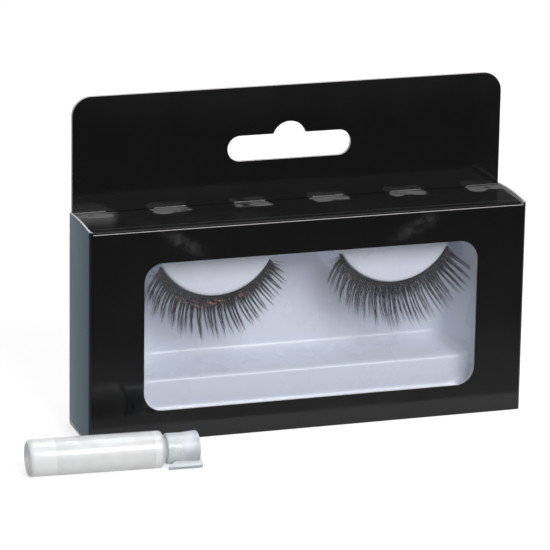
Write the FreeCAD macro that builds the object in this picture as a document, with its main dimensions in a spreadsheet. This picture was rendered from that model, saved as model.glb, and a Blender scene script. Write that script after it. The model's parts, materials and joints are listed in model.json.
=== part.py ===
# False eyelash case: a window carton with a hang header, its formed tray, a pair of strip lashes and a glue vial.
# Millimetres and degrees. +X runs along the width, +Y from the front to the back, +Z up.
# The origin is the middle of the carton's base.
import FreeCAD
import Part
import math
import os
import Sketcher

# Driving sizes: name, value, what it measures
SIZES = [
    ("carton_width", 112, "outside, side to side"),
    ("carton_depth", 19.5, "outside, front to back"),
    ("carton_height", 54, "base to the raw rim of the panels"),
    ("board", 0.5, "thickness of the carton board"),
    ("fold_radius", 0.9, "outside radius of the upright folds"),
    ("fold_return", 1, "part of a side that the front or back panel carries round its fold"),
    ("rim_bow", 0.4, "how far a side panel's rim arches up at its middle"),
    ("header_rise", 28.8, "header above the rim"),
    ("header_inset", 0.65, "header narrower than the carton, each side"),
    ("header_corner", 4.8, "radius of the header's top corners"),
    ("slot_length", 32, "hang slot, end to end"),
    ("slot_height", 6.5, "hang slot, between its straight edges"),
    ("slot_rise", 13.35, "middle of the hang slot above the rim"),
    ("bump_radius", 4.45, "radius of the rise over the slot's middle"),
    ("bump_rise", 3, "top of that rise above the slot's upper edge"),
    ("front_drop", 0.75, "front panel's raw rim below the sides'"),
    ("window_side", 13.2, "half the carton's width less half the window's"),
    ("window_shift", 0.55, "window's middle to the right of the carton's"),
    ("window_head", 8.85, "window's upper edge below the rim"),
    ("window_sill", 7.7, "lower edge of the window above the base"),
    ("window_corner", 4.8, "radius of the window's corners"),
    ("film", 0.15, "thickness of the clear pane"),
    ("film_lap", 4, "pane beyond the window, all round"),
    ("lid_drop", 0.35, "outer face of the top lid below the rim"),
    ("lid_play", 0.5, "lid to a side panel"),
    ("fold_gap", 0.2, "lid's rear end to the panel it folds on"),
    ("bead_radius", 0.2, "raised bead of a pressed crease"),
    ("bead_clearance", 0.05, "bead to the flap that turns on it"),
    ("land_count", 6, "uncut lands along the perforated crease"),
    ("land_length", 8, "one land"),
    ("land_margin", 0.35, "outermost land to the header's side"),
    ("tuck_length", 6.5, "tuck flap beyond its crease"),
    ("tuck_corner", 5, "radius of the tuck flap's free corners"),
    ("tuck_shoulder", 0.4, "rounding of a lid's front edge"),
    ("flap_play", 0.5, "tuck flap to what lies in front of it and behind it"),
    ("seam_width", 12, "glue flap"),
    ("seam_margin", 1.5, "glue flap shorter than the carton, at each end"),
    ("sheet", 0.4, "thickness of the tray sheet"),
    ("tray_side_play", 0.9, "tray narrower than the room beside the glue flap, each side"),
    ("tray_shift", 0.95, "tray's middle to the right of the carton's"),
    ("tray_end_play", 0.4, "tray to each lid"),
    ("tray_back_play", 0.2, "tray to the back panel"),
    ("mouth_lap", 1, "mouth of the tray's hollow beyond the window, each side"),
    ("mouth_drop", 4.1, "mouth of the tray's hollow below the window"),
    ("mouth_margin", 2.8, "flange above the mouth of the tray's hollow"),
    ("draft_angle", 15, "slope of the tray's walls"),
    ("step_depth", 4.45, "face of the ledge and pads behind the flange"),
    ("ledge_show", 5.8, "front edge of the ledge above the window's lower edge"),
    ("pad_gap", 15.3, "half-moon pad to half-moon pad"),
    ("pad_side", 4.1, "pad to the side wall of the hollow"),
    ("pad_drop", 3.55, "middle of the pads' arc below the tray's top"),
    ("pad_draft", 4, "slope of a pad's rim"),
    ("rim_round", 0.8, "rounding of the ledge's front edge and the pads' rims"),
    ("floor_round", 1.2, "rounding where the ledge and the pads meet the floor"),
    ("band_gap", 0.15, "lash band to the pad's rim"),
    ("band_thickness", 0.5, "lash band"),
    ("band_width", 1.3, "lash band, front to back"),
    ("band_sweep", 124, "angle that a lash band spans"),
    ("hair_count", 36, "clumps of hair on one lash"),
    ("hair_root", 0.34, "clump at the band"),
    ("hair_tip", 0.08, "clump at its point"),
    ("inner_hair", 5.6, "hair length at the inner corner"),
    ("outer_hair", 8.6, "hair length at the outer corner"),
    ("hair_swell", 4.2, "extra hair length between the corners"),
    ("hair_curl", 2, "tips forward of their roots"),
    ("hair_room", 0.9, "tips to the side wall of the tray's hollow"),
    ("vial_radius", 4.5, "outside of the vial"),
    ("vial_wall", 0.6, "wall of the vial"),
    ("vial_base", 1.2, "thickness of the vial's closed end"),
    ("vial_rounding", 1, "edge of the closed end"),
    ("vial_body", 32.4, "closed end to the shoulder"),
    ("shoulder", 1.2, "length of the shoulder"),
    ("shoulder_step", 1.5, "neck's radius below the vial's"),
    ("neck_wall", 0.8, "wall of the neck"),
    ("neck_length", 4, "neck beyond the shoulder"),
    ("headspace", 1.8, "adhesive's surface to the inside of the shoulder"),
    ("label_start", 6.5, "closed end to the label"),
    ("label_end", 1.9, "label to the shoulder"),
    ("label_thickness", 0.08, "label"),
    ("label_front_gap", 13, "bare angle in front of the resting line"),
    ("label_back_gap", 40, "bare angle behind the resting line"),
    ("cap_wall", 0.65, "stopper's skirt"),
    ("cap_flare", 0.3, "stopper's closed end wider than its skirt"),
    ("cap_length", 7.95, "stopper along the vial"),
    ("cap_play", 0.1, "stopper to the vial"),
    ("tab_lip", 0.8, "edge of the thumb tab beyond the vial's side"),
    ("tab_thickness", 1.6, "thumb tab"),
    ("rod_radius", 0.8, "applicator rod"),
    ("rod_clearance", 10.5, "tip of the applicator rod to the inside of the closed end"),
    ("vial_overhang", 19.85, "closed end of the vial beyond the carton's left side"),
    ("vial_distance", 16.65, "closed end's centre in front of the carton"),
    ("vial_yaw", 3.3, "vial's lie to the carton's front"),
]

doc = FreeCAD.newDocument("false_eyelash_case")
dims = doc.addObject("Spreadsheet::Sheet", "dims")
for row, (alias, amount, meaning) in enumerate(SIZES, start=1):
    dims.set(f"A{row}", alias)
    dims.set(f"B{row}", str(amount))
    dims.set(f"C{row}", meaning)
    dims.setAlias(f"B{row}", alias)
doc.recompute()

# Planes that several pieces share, front to back
SIDE_OUT = "(dims.carton_width / 2)"
SIDE_IN = f"({SIDE_OUT} - dims.board)"
LID_SIDE = f"({SIDE_IN} - dims.lid_play)"
HEADER_SIDE = f"({SIDE_OUT} - dims.header_inset)"
FRONT_OUT = "(-dims.carton_depth / 2)"
FRONT_IN = f"({FRONT_OUT} + dims.board)"
FILM_IN = f"({FRONT_IN} + dims.film)"
FLAP_OUT = f"({FILM_IN} + dims.flap_play)"
FLAP_IN = f"({FLAP_OUT} + dims.board)"
FLANGE = f"({FLAP_IN} + dims.flap_play)"
STEP = f"({FLANGE} + dims.step_depth)"
BACK_OUT = "(dims.carton_depth / 2)"
BACK_IN = f"({BACK_OUT} - dims.board)"
BACK_MIDDLE = f"({BACK_OUT} - dims.board / 2)"
HEADER_FACE = f"({BACK_IN} - dims.board)"
TRAY_BACK = f"({BACK_IN} - dims.tray_back_play)"
FLOOR = f"({TRAY_BACK} - dims.sheet)"

# Levels that several pieces share, base to top
RIM = "dims.carton_height"
LID_TOP = "(dims.carton_height - dims.lid_drop)"
LID_UNDER = f"({LID_TOP} - dims.board)"
TRAY_TOP = f"({LID_UNDER} - dims.tray_end_play)"
TRAY_FOOT = "(dims.board + dims.tray_end_play)"
HEADER_TOP = "(dims.carton_height + dims.header_rise)"
SLOT_MIDDLE = "(dims.carton_height + dims.slot_rise)"

# Window, and the tray's forms that show in it
WINDOW_HALF = f"({SIDE_OUT} - dims.window_side)"
WINDOW_LEFT = f"(dims.window_shift - {WINDOW_HALF})"
WINDOW_RIGHT = f"(dims.window_shift + {WINDOW_HALF})"
WINDOW_TOP = f"({RIM} - dims.window_head)"
SLOPE = "tan(dims.draft_angle * 1 deg)"
MOUTH_HALF = f"({WINDOW_HALF} + dims.mouth_lap)"
MOUTH_LOW = "(dims.window_sill - dims.mouth_drop)"
MOUTH_HIGH = f"({TRAY_TOP} - dims.mouth_margin)"
STEP_HALF = f"({MOUTH_HALF} - dims.step_depth * {SLOPE})"
LEDGE_EDGE = "(dims.window_sill + dims.ledge_show)"
LEDGE_FOOT = f"({LEDGE_EDGE} + ({FLOOR} - {STEP}) * {SLOPE})"
PAD_RADIUS = f"((2 * {STEP_HALF} - dims.pad_gap - 2 * dims.pad_side) / 4)"
PAD_MIDDLE = f"(dims.pad_gap / 2 + {PAD_RADIUS})"
PAD_LEVEL = f"({TRAY_TOP} - dims.pad_drop)"
BAND_INNER = f"({PAD_RADIUS} + dims.band_width * tan(dims.pad_draft * 1 deg) + dims.band_gap)"

# Crease lines that the flaps turn on
LID_FOLD_Y = f"({HEADER_FACE} - dims.fold_gap / 2)"
LID_FOLD_Z = f"({LID_TOP} + dims.bead_clearance)"
BASE_FOLD_Z = "(dims.board / 2)"

SEAT_RADIUS = "(dims.bead_radius + dims.bead_clearance)"
FLAT_TOLERANCE = 1e-4

pieces = []


def size(alias):
    return float(dims.get(alias))


def number(expression):
    return float(dims.evalExpression(expression.replace("dims.", "")))


# Sketches and features


def new_body(label):
    body = doc.addObject("PartDesign::Body", label)
    body.Label = label
    pieces.append(body)
    return body


def new_sketch(body, name, plane, offset=None):
    sketch = body.newObject("Sketcher::SketchObject", f"{body.Label}_{name}")
    sketch.AttachmentSupport = [(f, "") for f in body.Origin.OriginFeatures if f.Role == plane]
    sketch.MapMode = "FlatFace"
    if offset:
        sketch.setExpression("AttachmentOffset.Base.z", offset)
    return sketch


def place_point(sketch, geometry, point, x, y):
    for kind, expression in (("DistanceX", x), ("DistanceY", y)):
        where = sketch.addConstraint(Sketcher.Constraint(kind, -1, 1, geometry, point, number(expression)))
        sketch.setExpression(f"Constraints[{where}]", expression)


def add_polygon(sketch, corners):
    points = [FreeCAD.Vector(number(x), number(y), 0) for x, y in corners]
    count = len(points)
    for i in range(count):
        sketch.addGeometry(Part.LineSegment(points[i], points[(i + 1) % count]))
    for i in range(count):
        sketch.addConstraint(Sketcher.Constraint("Coincident", i, 2, (i + 1) % count, 1))
    for i, (x, y) in enumerate(corners):
        place_point(sketch, i, 1, x, y)


def add_rectangle(sketch, left, right, low, high):
    add_polygon(sketch, [(left, low), (right, low), (right, high), (left, high)])


def add_circle(sketch, x, y, radius):
    centre = FreeCAD.Vector(number(x), number(y), 0)
    ring = sketch.addGeometry(Part.Circle(centre, FreeCAD.Vector(0, 0, 1), number(radius)))
    place_point(sketch, ring, 3, x, y)
    where = sketch.addConstraint(Sketcher.Constraint("Radius", ring, number(radius)))
    sketch.setExpression(f"Constraints[{where}]", radius)


def pad(body, sketch, length, reverse=False, both_ways=False):
    feature = body.newObject("PartDesign::Pad", f"{sketch.Name}_pad")
    feature.Profile = sketch
    feature.Reversed = reverse
    feature.SideType = "Symmetric" if both_ways else "One side"
    feature.setExpression("Length", length)
    doc.recompute()
    return feature


def cut_through(body, sketch):
    feature = body.newObject("PartDesign::Pocket", f"{sketch.Name}_cut")
    feature.Profile = sketch
    feature.Type = "ThroughAll"
    feature.SideType = "Symmetric"
    doc.recompute()
    return feature


def revolve(body, sketch, axis, angle="360", both_ways=False):
    feature = body.newObject("PartDesign::Revolution", f"{sketch.Name}_turn")
    feature.Profile = sketch
    feature.ReferenceAxis = (sketch, [axis])
    feature.Midplane = both_ways
    feature.setExpression("Angle", angle)
    doc.recompute()
    return feature


def round_edges(body, base, radius, wanted):
    names = [f"Edge{i}" for i, edge in enumerate(base.Shape.Edges, start=1) if wanted(edge)]
    feature = body.newObject("PartDesign::Fillet", f"{base.Name}_round")
    feature.Base = (base, names)
    feature.setExpression("Radius", radius)
    doc.recompute()
    return feature


def near(a, b):
    return abs(a - b) < FLAT_TOLERANCE


def edge_along(edge, axis, **at):
    """True for a straight edge along the axis whose middle has the given coordinates, signs aside for x."""
    box = edge.BoundBox
    spans = {"x": box.XLength, "y": box.YLength, "z": box.ZLength}
    if any(spans[other] > FLAT_TOLERANCE for other in spans if other != axis):
        return False
    middle = {"x": abs(box.Center.x), "y": box.Center.y, "z": box.Center.z}
    return all(near(middle[key], number(expression)) for key, expression in at.items())


# Carton panels


def channel_profile(sketch, outer, inner, tail):
    """Panel with a short return round each upright fold, seen from above."""
    add_polygon(sketch, [
        (f"-{SIDE_OUT}", outer),
        (SIDE_OUT, outer),
        (SIDE_OUT, tail),
        (SIDE_IN, tail),
        (SIDE_IN, inner),
        (f"-{SIDE_IN}", inner),
        (f"-{SIDE_IN}", tail),
        (f"-{SIDE_OUT}", tail),
    ])


def round_folds(body, panel, outer, inner):
    turned = round_edges(body, panel, "dims.fold_radius", lambda e: edge_along(e, "z", x=SIDE_OUT, y=outer))
    inside = "dims.fold_radius - dims.board"
    return round_edges(body, turned, inside, lambda e: edge_along(e, "z", x=SIDE_IN, y=inner))


def front_panel():
    body = new_body("front_panel")
    outline = new_sketch(body, "outline", "XY_Plane")
    channel_profile(outline, FRONT_OUT, FRONT_IN, f"{FRONT_OUT} + dims.fold_return")
    round_folds(body, pad(body, outline, RIM), FRONT_OUT, FRONT_IN)
    window = new_sketch(body, "window", "XZ_Plane")
    add_rectangle(window, WINDOW_LEFT, WINDOW_RIGHT, "dims.window_sill", WINDOW_TOP)
    opened = cut_through(body, window)
    sides = (f"-{WINDOW_LEFT}", WINDOW_RIGHT)
    round_edges(body, opened, "dims.window_corner",
                lambda e: any(edge_along(e, "y", x=side) for side in sides))
    rim = new_sketch(body, "rim", "XZ_Plane")
    half = f"({SIDE_OUT} - dims.fold_radius)"
    add_rectangle(rim, f"-{half}", half, f"{RIM} - dims.front_drop", f"{RIM} + dims.board")
    cut_through(body, rim)


def cut_hang_slot(body):
    half = "(dims.slot_length / 2 - dims.slot_height / 2)"
    low = f"{SLOT_MIDDLE} - dims.slot_height / 2"
    high = f"{SLOT_MIDDLE} + dims.slot_height / 2"
    straight = new_sketch(body, "slot", "XZ_Plane")
    add_rectangle(straight, f"-{half}", half, low, high)
    cut_through(body, straight)
    ends = new_sketch(body, "slot_ends", "XZ_Plane")
    add_circle(ends, f"-{half}", SLOT_MIDDLE, "dims.slot_height / 2")
    add_circle(ends, half, SLOT_MIDDLE, "dims.slot_height / 2")
    cut_through(body, ends)
    bump = new_sketch(body, "slot_bump", "XZ_Plane")
    add_circle(bump, "0", f"{high} + dims.bump_rise - dims.bump_radius", "dims.bump_radius")
    cut_through(body, bump)


def header_ply(body, name, rear, low):
    """One ply of the header: its rear face is at the given depth."""
    outline = new_sketch(body, name, "XZ_Plane", f"-{rear}")
    add_rectangle(outline, f"-{HEADER_SIDE}", HEADER_SIDE, low, HEADER_TOP)
    ply = pad(body, outline, "dims.board")
    round_edges(body, ply, "dims.header_corner", lambda e: edge_along(e, "y", x=HEADER_SIDE, z=HEADER_TOP))
    cut_hang_slot(body)


def back_panel():
    body = new_body("back_panel")
    outline = new_sketch(body, "outline", "XY_Plane", BASE_FOLD_Z)
    channel_profile(outline, BACK_OUT, BACK_IN, f"{BACK_OUT} - dims.fold_return")
    round_folds(body, pad(body, outline, f"{RIM} - {BASE_FOLD_Z}"), BACK_OUT, BACK_IN)
    crease = new_sketch(body, "crease", "YZ_Plane")
    add_circle(crease, BACK_MIDDLE, BASE_FOLD_Z, "dims.board / 2")
    pad(body, crease, f"2 * {LID_SIDE}", both_ways=True)
    header_ply(body, "header", BACK_OUT, f"{RIM} - dims.fold_return")


def header_front_ply():
    body = new_body("header_front_ply")
    header_ply(body, "ply", BACK_IN, LID_UNDER)
    run = f"(2 * {HEADER_SIDE} - 2 * dims.land_margin - dims.land_length)"
    land = new_sketch(body, "land", "YZ_Plane", f"-{run} / 2")
    add_circle(land, LID_FOLD_Y, LID_FOLD_Z, "dims.bead_radius")
    first = pad(body, land, "dims.land_length", both_ways=True)
    row = body.newObject("PartDesign::LinearPattern", "header_front_ply_lands")
    row.Originals = [first]
    row.Direction = (land, ["N_Axis"])
    row.setExpression("Length", run)
    row.setExpression("Occurrences", "dims.land_count")
    body.Tip = row
    doc.recompute()


def side_panel(label, inner_face):
    body = new_body(label)
    sketch = new_sketch(body, "outline", "YZ_Plane", inner_face)
    front = f"({FRONT_OUT} + dims.fold_return)"
    back = f"({BACK_OUT} - dims.fold_return)"
    span = f"({back} - {front})"
    low_front = FreeCAD.Vector(number(front), 0, 0)
    low_back = FreeCAD.Vector(number(back), 0, 0)
    high_back = FreeCAD.Vector(number(back), number(RIM), 0)
    high_front = FreeCAD.Vector(number(front), number(RIM), 0)
    crown = FreeCAD.Vector(0, number(RIM) + size("rim_bow"), 0)
    sketch.addGeometry(Part.LineSegment(low_front, low_back))
    sketch.addGeometry(Part.LineSegment(low_back, high_back))
    rim = sketch.addGeometry(Part.Arc(high_back, crown, high_front))
    sketch.addGeometry(Part.LineSegment(high_front, low_front))
    for first, end, second, start in ((0, 2, 1, 1), (1, 2, rim, 1), (rim, 2, 3, 1), (3, 2, 0, 1)):
        sketch.addConstraint(Sketcher.Constraint("Coincident", first, end, second, start))
    place_point(sketch, 0, 1, front, "0")
    place_point(sketch, 0, 2, back, "0")
    place_point(sketch, 1, 2, back, RIM)
    place_point(sketch, 3, 1, front, RIM)
    radius = f"{span} * {span} / (8 * dims.rim_bow) + dims.rim_bow / 2"
    where = sketch.addConstraint(Sketcher.Constraint("Radius", rim, number(radius)))
    sketch.setExpression(f"Constraints[{where}]", radius)
    pad(body, sketch, "dims.board", reverse=label.startswith("left"))


def seam_flap():
    body = new_body("seam_flap")
    sketch = new_sketch(body, "outline", "YZ_Plane", f"-{SIDE_IN}")
    back = f"({BACK_IN} - dims.fold_radius)"
    add_rectangle(sketch, f"{back} - dims.seam_width", back,
                  "dims.board + dims.seam_margin", f"{LID_UNDER} - dims.seam_margin")
    pad(body, sketch, "dims.board")


def window_film():
    body = new_body("window_film")
    sketch = new_sketch(body, "outline", "XZ_Plane", f"-{FRONT_IN}")
    add_rectangle(sketch, f"{WINDOW_LEFT} - dims.film_lap", f"{WINDOW_RIGHT} + dims.film_lap",
                  "dims.window_sill - dims.film_lap", f"{WINDOW_TOP} + dims.film_lap")
    pad(body, sketch, "dims.film", reverse=True)


# Lids and tuck flaps


def lid(label, under, rear, crease_level):
    """Flat lid with the bead of its front crease along one long edge."""
    body = new_body(label)
    outline = new_sketch(body, "outline", "XY_Plane", under)
    add_rectangle(outline, f"-{LID_SIDE}", LID_SIDE, f"{FLAP_IN} + dims.bead_clearance", rear)
    pad(body, outline, "dims.board")
    crease = new_sketch(body, "crease", "YZ_Plane")
    add_circle(crease, FLAP_IN, crease_level, "dims.bead_radius")
    pad(body, crease, f"2 * {LID_SIDE}", both_ways=True)
    return body


def top_lid():
    body = lid("top_lid", LID_UNDER, f"{HEADER_FACE} - dims.fold_gap", LID_UNDER)
    seat = new_sketch(body, "seat", "YZ_Plane")
    add_circle(seat, LID_FOLD_Y, LID_FOLD_Z, SEAT_RADIUS)
    cut_through(body, seat)


def bottom_lid():
    lid("bottom_lid", "0", f"{BACK_IN} - dims.fold_gap", "dims.board")


def tuck_flap(label, outer, crease_level, free_end):
    body = new_body(label)
    outline = new_sketch(body, "outline", "XZ_Plane", f"-{FLAP_IN}")
    low, high = (free_end, outer) if number(free_end) < number(outer) else (outer, free_end)
    add_rectangle(outline, f"-{LID_SIDE}", LID_SIDE, low, high)
    flap = pad(body, outline, "dims.board")
    cornered = round_edges(body, flap, "dims.tuck_corner", lambda e: edge_along(e, "y", x=LID_SIDE, z=free_end))
    round_edges(body, cornered, "dims.tuck_shoulder", lambda e: edge_along(e, "x", y=FLAP_OUT, z=outer))
    seat = new_sketch(body, "seat", "YZ_Plane")
    add_circle(seat, FLAP_IN, crease_level, SEAT_RADIUS)
    cut_through(body, seat)


# Formed tray


def bind(thing, **expressions):
    for name, expression in expressions.items():
        thing.setExpression(name.replace("__", "."), expression)
    return thing


def block(name, half, front, back, low, high):
    return bind(doc.addObject("Part::Box", name), Length=f"2 * {half}", Width=f"{back} - {front}",
                Height=f"{high} - {low}", Placement__Base__x=f"-{half}", Placement__Base__y=front,
                Placement__Base__z=low)


def boolean(kind, name, base, tool):
    result = doc.addObject(kind, name)
    result.Base = base
    result.Tool = tool
    return result


def tray_hollow(name, grow, floor, step):
    """The air in front of the tray sheet, grown by the sheet's thickness for the sheet's rear side."""
    half = f"({MOUTH_HALF} + {grow})"
    low = f"({MOUTH_LOW} - {grow})"
    high = f"({MOUTH_HIGH} + {grow})"
    taper = f"(({floor} - {FLANGE}) * {SLOPE})"
    cavity = bind(doc.addObject("Part::Wedge", f"{name}_cavity"), Ymin=FLANGE, Ymax=floor,
                  Xmin=f"-{half}", Xmax=half, X2min=f"-{half} + {taper}", X2max=f"{half} - {taper}",
                  Zmin=low, Zmax=high, Z2min=f"{low} + {taper}", Z2max=f"{high} - {taper}")
    top = f"({LEDGE_EDGE} - {grow} + ({step} - {STEP}) * {SLOPE})"
    climb = f"(({floor} + dims.board - {step}) * {SLOPE})"
    ledge = bind(doc.addObject("Part::Wedge", f"{name}_ledge"), Ymin=step, Ymax=f"{floor} + dims.board",
                 Xmin=f"-{SIDE_OUT}", Xmax=SIDE_OUT, X2min=f"-{SIDE_OUT}", X2max=SIDE_OUT,
                 Zmin=TRAY_FOOT, Zmax=top, Z2min=TRAY_FOOT, Z2max=f"{top} + {climb}")
    flare = "tan(dims.pad_draft * 1 deg)"
    face = f"({PAD_RADIUS} - {grow} + ({step} - {STEP}) * {flare})"
    long = f"({floor} + dims.board - {step})"
    forms = [ledge]
    for side, sign in (("left", "-"), ("right", "")):
        pad_form = bind(doc.addObject("Part::Cone", f"{name}_{side}_pad"), Radius1=face,
                        Radius2=f"{face} + {long} * {flare}", Height=long)
        pad_form.Placement.Rotation = FreeCAD.Rotation(FreeCAD.Vector(1, 0, 0), -90)
        bind(pad_form, Placement__Base__x=f"{sign}{PAD_MIDDLE}", Placement__Base__y=step,
             Placement__Base__z=PAD_LEVEL)
        forms.append(pad_form)
    raised = doc.addObject("Part::MultiFuse", f"{name}_raised")
    raised.Shapes = forms
    return boolean("Part::Cut", f"{name}_air", cavity, raised)


def flat_at(low, high, expression):
    return near(low, number(expression)) and near(high, number(expression))


def rounded_hollow(air):
    """The front air with formed sheet's soft edges, along the ledge and round the pads, at their rims and feet."""
    doc.recompute()
    edges = []
    for depth, level, rounding in ((STEP, LEDGE_EDGE, size("rim_round")), (FLOOR, LEDGE_FOOT, size("floor_round"))):
        for place, edge in enumerate(air.Shape.Edges, start=1):
            box = edge.BoundBox
            bounds_form = isinstance(edge.Curve, Part.Circle) or flat_at(box.ZMin, box.ZMax, level)
            if bounds_form and flat_at(box.YMin, box.YMax, depth):
                edges.append((place, rounding, rounding))
    soft = doc.addObject("Part::Fillet", f"{air.Name}_soft")
    soft.Base = air
    soft.Edges = edges
    return soft


def lash_tray():
    half = f"({SIDE_IN} - dims.board - dims.tray_side_play)"
    solid = block("tray_block", half, FLANGE, TRAY_BACK, TRAY_FOOT, TRAY_TOP)
    rear = block("tray_rear", half, f"({FLANGE} + dims.sheet)", TRAY_BACK, TRAY_FOOT, TRAY_TOP)
    front_air = rounded_hollow(tray_hollow("tray_front", "0", FLOOR, STEP))
    rear_air = tray_hollow("tray_back", "dims.sheet", TRAY_BACK, f"({STEP} + dims.sheet)")
    shaped = boolean("Part::Cut", "tray_shaped", solid, front_air)
    behind = boolean("Part::Cut", "tray_behind", rear, rear_air)
    tray = boolean("Part::Cut", "lash_tray", shaped, behind)
    tray.Label = "lash_tray"
    bind(tray, Placement__Base__x="dims.tray_shift")
    doc.recompute()
    pieces.append(tray)


# Lashes

DOWN = FreeCAD.Rotation(FreeCAD.Vector(0, 1, 0), 90)
HAIR_STATIONS = (0.0, 0.35, 0.7, 1.0)
HAIR_LENGTHS = (1.0, 0.86, 0.95, 0.78)
HAIR_LEANS = (0.0, 7.0, -5.0, 3.0)
HAIR_SETBACK = 0.05
HAIR_BEND = 16
HAIR_FLATNESS = 0.7
HAIR_SPREAD = 0.92
BARE_SWEEP = 4


def pad_centre(sign):
    return FreeCAD.Vector(size("tray_shift") + sign * number(PAD_MIDDLE), 0, number(PAD_LEVEL))


def lash_band(label, sign):
    body = new_body(label)
    sketch = new_sketch(body, "section", "XY_Plane")
    add_rectangle(sketch, BAND_INNER, f"{BAND_INNER} + dims.band_thickness", STEP, f"{STEP} + dims.band_width")
    revolve(body, sketch, "V_Axis", "dims.band_sweep", both_ways=True)
    body.Placement = FreeCAD.Placement(pad_centre(sign), DOWN)


def hair_clump(root, angle, length, bend, front):
    """A clump of hair as a tapered, bent spike: it leaves the band at the angle from straight down."""
    sections = []
    place = FreeCAD.Vector(root)
    before = 0.0
    for station in HAIR_STATIONS:
        heading = math.radians(angle + bend * station)
        along = FreeCAD.Vector(math.sin(heading), 0, -math.cos(heading))
        across = FreeCAD.Vector(math.cos(heading), 0, math.sin(heading))
        place = place + along * (length * (station - before))
        before = station
        middle = FreeCAD.Vector(place.x, front - size("hair_curl") * station ** 2, place.z)
        half = (size("hair_root") + (size("hair_tip") - size("hair_root")) * station) / 2
        depth = FreeCAD.Vector(0, half * HAIR_FLATNESS, 0)
        wide = across * half
        corners = [middle + wide + depth, middle - wide + depth, middle - wide - depth, middle + wide - depth]
        sections.append(Part.makePolygon(corners + corners[:1]))
    return Part.makeLoft(sections, True, True)


def lash_hairs(label, sign):
    """Hairs from the inner corner, at the middle of the case, to the outer corner."""
    count = int(size("hair_count"))
    reach = number(BAND_INNER) + size("band_thickness") + HAIR_SETBACK
    middle = pad_centre(sign)
    front = number(STEP) + size("band_width") / 2
    side_room = number(STEP_HALF) - size("hair_room")
    sweep = size("band_sweep") - BARE_SWEEP
    clumps = []
    for i in range(count):
        share = i / (count - 1)
        outward = sign * (share - 0.5) * sweep
        turn = math.radians(outward)
        root = middle + FreeCAD.Vector(math.sin(turn), 0, -math.cos(turn)) * reach
        length = size("inner_hair") + (size("outer_hair") - size("inner_hair")) * share
        length = (length + size("hair_swell") * math.sin(math.pi * share)) * HAIR_LENGTHS[i % len(HAIR_LENGTHS)]
        angle = outward * HAIR_SPREAD + HAIR_LEANS[i % len(HAIR_LEANS)]
        bend = HAIR_BEND if outward * sign < 0 else -sign * HAIR_BEND * (1 + share)
        sideways = math.sin(math.radians(sign * (angle + bend / 2)))
        if sideways > 0:
            length = min(length, (side_room - sign * (root.x - size("tray_shift"))) / sideways)
        clumps.append(hair_clump(root, angle, length, bend, front))
    hairs = doc.addObject("Part::Feature", label)
    hairs.Label = label
    hairs.Shape = Part.makeCompound(clumps)
    pieces.append(hairs)


# Glue vial


def vial_place(turn):
    """Where the vial lies: closed end first, then its lie, then a turn about its own axis."""
    where = FreeCAD.Vector(-size("carton_width") / 2 - size("vial_overhang"),
                           -size("carton_depth") / 2 - size("vial_distance"), size("vial_radius"))
    lie = FreeCAD.Rotation(FreeCAD.Vector(0, 0, 1), -size("vial_yaw"))
    return FreeCAD.Placement(where, lie.multiply(FreeCAD.Rotation(FreeCAD.Vector(1, 0, 0), turn)))


NECK_START = "(dims.vial_body + dims.shoulder)"
NECK_END = f"({NECK_START} + dims.neck_length)"
BORE = "(dims.vial_radius - dims.vial_wall)"
NECK_RADIUS = "(dims.vial_radius - dims.shoulder_step)"
NECK_BORE = f"({NECK_RADIUS} - dims.neck_wall)"
FILL_END = "(dims.vial_body - dims.vial_wall - dims.headspace)"
CAP_START = f"({NECK_START} + dims.cap_play)"
CAP_END = f"({CAP_START} + dims.cap_length)"
CAP_CEILING = f"({NECK_END} + dims.cap_play)"
SKIRT_BORE = f"({NECK_RADIUS} + dims.cap_play)"
CAP_RADIUS = f"({SKIRT_BORE} + dims.cap_wall)"
TAB_REACH = "(dims.vial_radius + dims.tab_lip)"
ROD_END = "(dims.vial_base + dims.rod_clearance)"


def ring_edge(edge, x, radius):
    circle = edge.Curve
    return (isinstance(circle, Part.Circle) and near(circle.Radius, number(radius))
            and near(circle.Center.x, number(x)))


def vial_tube():
    body = new_body("vial_tube")
    sketch = new_sketch(body, "section", "XY_Plane")
    add_polygon(sketch, [
        ("0", "0"),
        ("dims.vial_base", "0"),
        ("dims.vial_base", BORE),
        ("dims.vial_body - dims.vial_wall", BORE),
        (f"{NECK_START} - dims.vial_wall", NECK_BORE),
        (NECK_END, NECK_BORE),
        (NECK_END, NECK_RADIUS),
        (NECK_START, NECK_RADIUS),
        ("dims.vial_body", "dims.vial_radius"),
        ("0", "dims.vial_radius"),
    ])
    turned = revolve(body, sketch, "H_Axis")
    round_edges(body, turned, "dims.vial_rounding", lambda e: ring_edge(e, "0", "dims.vial_radius"))
    body.Placement = vial_place(0)


def vial_adhesive():
    body = new_body("vial_adhesive")
    sketch = new_sketch(body, "section", "XY_Plane")
    hole = "(dims.rod_radius + dims.cap_play)"
    add_polygon(sketch, [
        ("dims.vial_base", "0"),
        (f"{ROD_END} - dims.cap_play", "0"),
        (f"{ROD_END} - dims.cap_play", hole),
        (FILL_END, hole),
        (FILL_END, BORE),
        ("dims.vial_base", BORE),
    ])
    revolve(body, sketch, "H_Axis")
    body.Placement = vial_place(0)


def vial_label():
    body = new_body("vial_label")
    sketch = new_sketch(body, "section", "XY_Plane")
    add_rectangle(sketch, "dims.label_start", "dims.vial_body - dims.label_end",
                  "dims.vial_radius", "dims.vial_radius + dims.label_thickness")
    revolve(body, sketch, "H_Axis", "360 - dims.label_front_gap - dims.label_back_gap", both_ways=True)
    upright = 90
    body.Placement = vial_place(upright + (size("label_back_gap") - size("label_front_gap")) / 2)


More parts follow.
